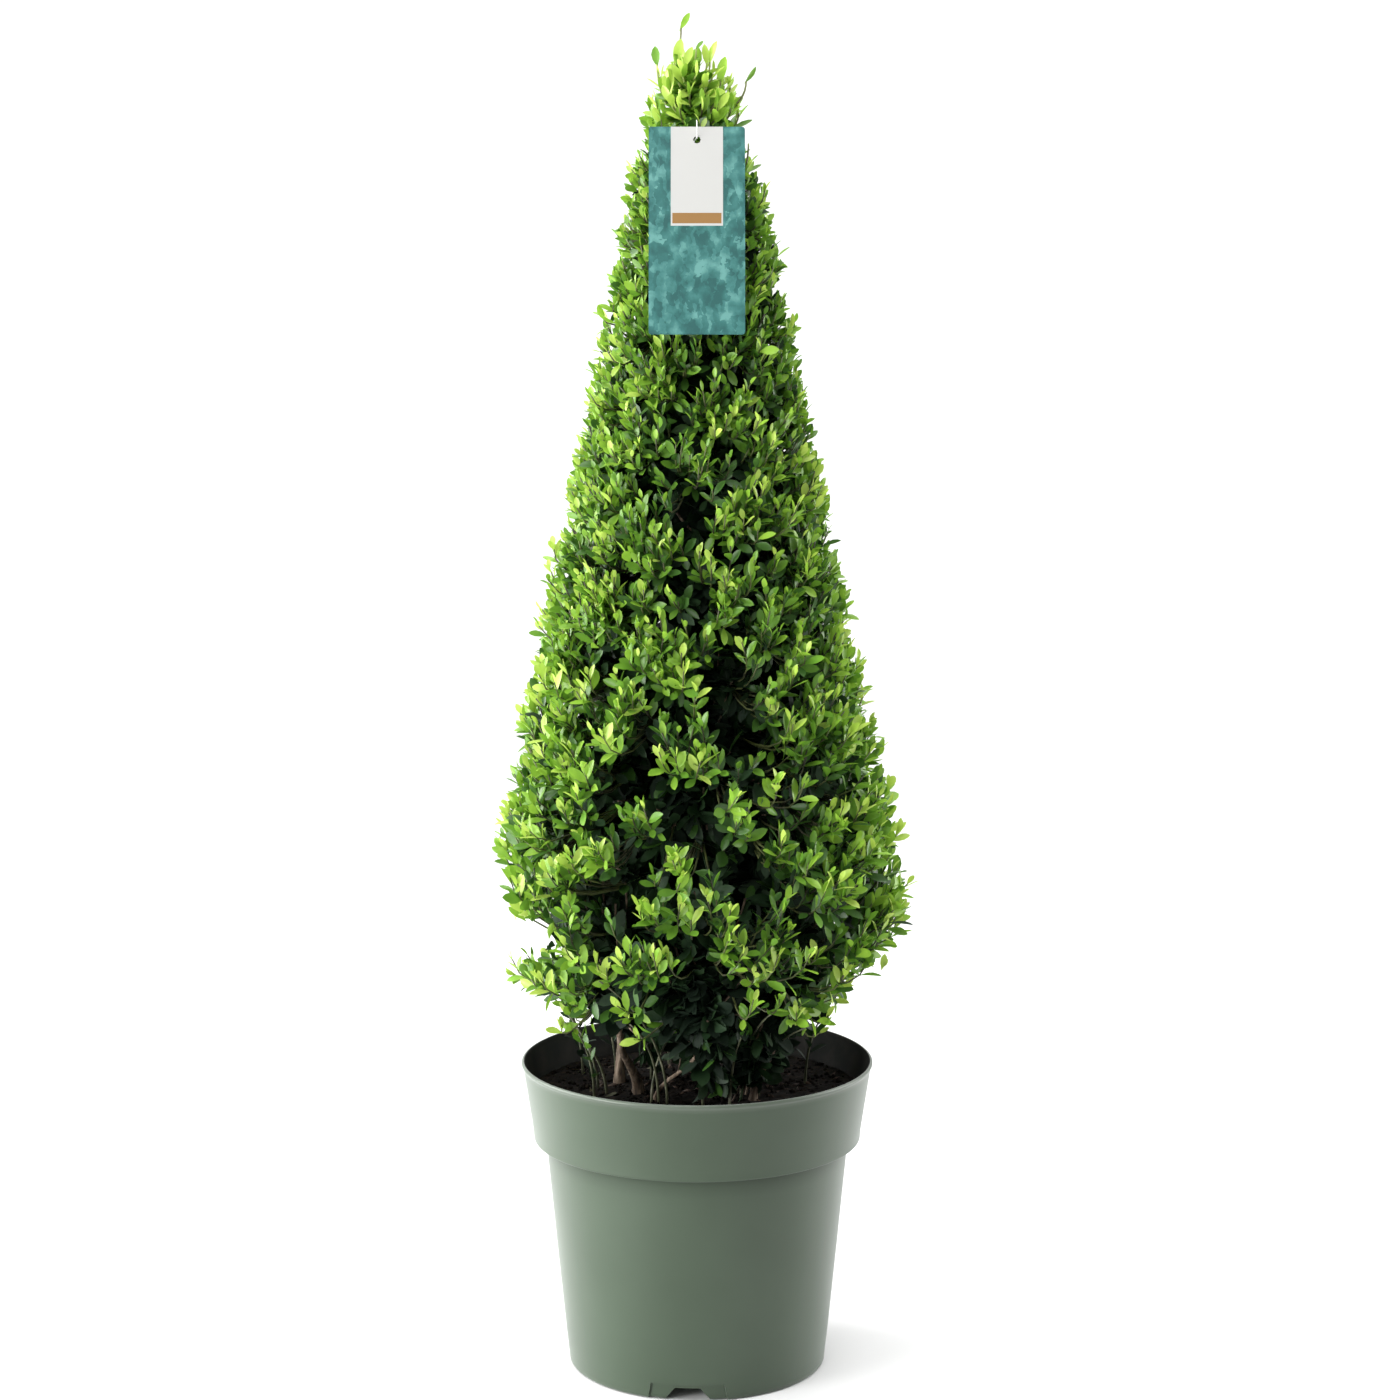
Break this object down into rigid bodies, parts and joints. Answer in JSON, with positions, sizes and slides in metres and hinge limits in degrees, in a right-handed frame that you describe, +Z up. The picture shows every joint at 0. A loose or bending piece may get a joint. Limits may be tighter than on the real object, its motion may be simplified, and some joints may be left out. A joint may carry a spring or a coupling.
{
  "type": "potted japanese holly pyramid",
  "caption": "Clipped Japanese holly shrub: a dense leafy cone on slender stems, in a round plastic nursery pot of soil, with a plain card label on a loop.",
  "frame": {"origin": "centre of the pot's flat underside", "axes": "+Z up along the plant's height, -Y towards the front where the card label hangs, +X to the right seen from the front"},
  "size_m": [0.2816, 0.281, 0.9149],
  "materials": {
    "pot_plastic": "satin",
    "soil": "matte",
    "bark": "matte",
    "foliage": "satin",
    "card": "satin",
    "loop": "satin"
  },
  "bodies": {
    "root": {"pot": "pot_plastic", "soil": "soil", "leader": "bark", "stem_1": "bark", "stem_2": "bark", "stem_3": "bark", "stem_4": "bark", "stem_5": "bark", "stem_6": "bark", "skirt_1": "foliage", "skirt_2": "foliage", "skirt_3": "foliage", "skirt_4": "foliage", "skirt_5": "foliage", "skirt_6": "foliage", "lower_1": "foliage", "lower_2": "foliage", "lower_3": "foliage", "lower_4": "foliage", "lower_5": "foliage", "middle_1": "foliage", "middle_2": "foliage", "middle_3": "foliage", "middle_4": "foliage", "upper_1": "foliage", "upper_2": "foliage", "upper_3": "foliage", "tip": "foliage", "tag_card": "card", "tag_loop": "loop"}
  },
  "joints": []
}
